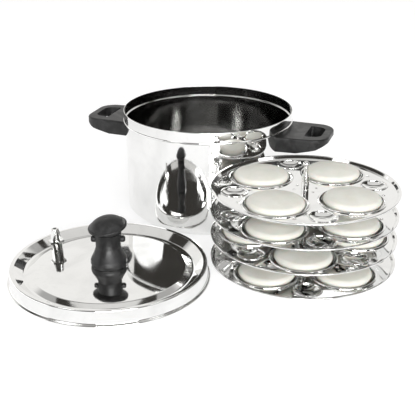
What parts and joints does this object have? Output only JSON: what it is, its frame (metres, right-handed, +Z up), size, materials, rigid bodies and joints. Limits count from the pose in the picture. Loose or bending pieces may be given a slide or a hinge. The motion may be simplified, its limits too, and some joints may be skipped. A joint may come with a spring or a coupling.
{
  "type": "idli steamer",
  "caption": "Round stainless idli steamer laid open: lidded steaming pot with two side handles, knobbed lid with steam vent, and a stacked rack of cupped plates on a rod.",
  "frame": {"origin": "centre of the pot's base disc on the surface it stands on", "axes": "+Z up along the pot's axis; +X to the right of the picture, towards the rack; +Y to the back, from the lid and rack towards the pot"},
  "size_m": [0.43, 0.4232, 0.135],
  "materials": {
    "polished_steel": "mirror polished stainless sheet",
    "turned_steel": "fine turned and polished",
    "black_phenolic": "satin moulded",
    "brass": "machined",
    "silicone": "matte",
    "idli": "soft steamed batter, fine pores"
  },
  "bodies": {
    "pot": {"pot_shell": "polished_steel", "pot_base_disc": "polished_steel", "side_handle_left": "black_phenolic", "side_handle_right": "black_phenolic", "handle_brackets": "turned_steel", "handle_screws": "turned_steel"},
    "lid": {"lid_shell": "polished_steel", "knob_stem": "black_phenolic", "knob_cap": "black_phenolic", "knob_insert": "brass", "knob_washer": "turned_steel", "knob_screw": "turned_steel", "vent_pipe": "turned_steel", "vent_gasket": "silicone", "vent_nut": "turned_steel"},
    "whistle": {"vent_whistle": "turned_steel"},
    "rack": {"bottom_plate": "polished_steel", "bottom_idlis": "idli", "center_rod": "turned_steel", "rod_nut": "turned_steel"},
    "lower_spacer": {"lower_spacer": "turned_steel"},
    "third_plate": {"third_plate": "polished_steel", "third_idlis": "idli"},
    "middle_spacer": {"middle_spacer": "turned_steel"},
    "second_plate": {"second_plate": "polished_steel", "second_idlis": "idli"},
    "upper_spacer": {"upper_spacer": "turned_steel"},
    "top_plate": {"top_plate": "polished_steel", "top_idlis": "idli"},
    "finial": {"finial": "turned_steel"}
  },
  "joints": [
    {"name": "lid_lift", "type": "slide", "parent": "pot", "child": "lid", "axis": [0, 0, 1], "range_m": [0, 0.2]},
    {"name": "whistle_lift", "type": "slide", "parent": "lid", "child": "whistle", "axis": [-0.059, 0.0341, 0.9977], "range_m": [0, 0.025]},
    {"name": "rack_lift", "type": "slide", "parent": "pot", "child": "rack", "axis": [0, 0, 1], "range_m": [0, 0.2]},
    {"name": "lower_spacer_lift", "type": "slide", "parent": "rack", "child": "lower_spacer", "axis": [0, 0, 1], "range_m": [0, 0.0968]},
    {"name": "third_plate_turn", "type": "hinge", "parent": "lower_spacer", "child": "third_plate", "pos_m": [0.10572, -0.18341, 0], "axis": [0, 0, 1], "continuous": true},
    {"name": "middle_spacer_lift", "type": "slide", "parent": "lower_spacer", "child": "middle_spacer", "axis": [0, 0, 1], "range_m": [0, 0.0692]},
    {"name": "second_plate_turn", "type": "hinge", "parent": "middle_spacer", "child": "second_plate", "pos_m": [0.10572, -0.18341, 0], "axis": [0, 0, 1], "continuous": true},
    {"name": "upper_spacer_lift", "type": "slide", "parent": "middle_spacer", "child": "upper_spacer", "axis": [0, 0, 1], "range_m": [0, 0.0416]},
    {"name": "top_plate_turn", "type": "hinge", "parent": "upper_spacer", "child": "top_plate", "pos_m": [0.10572, -0.18341, 0], "axis": [0, 0, 1], "continuous": true},
    {"name": "finial_lift", "type": "slide", "parent": "upper_spacer", "child": "finial", "axis": [0, 0, 1], "range_m": [0, 0.02]}
  ]
}
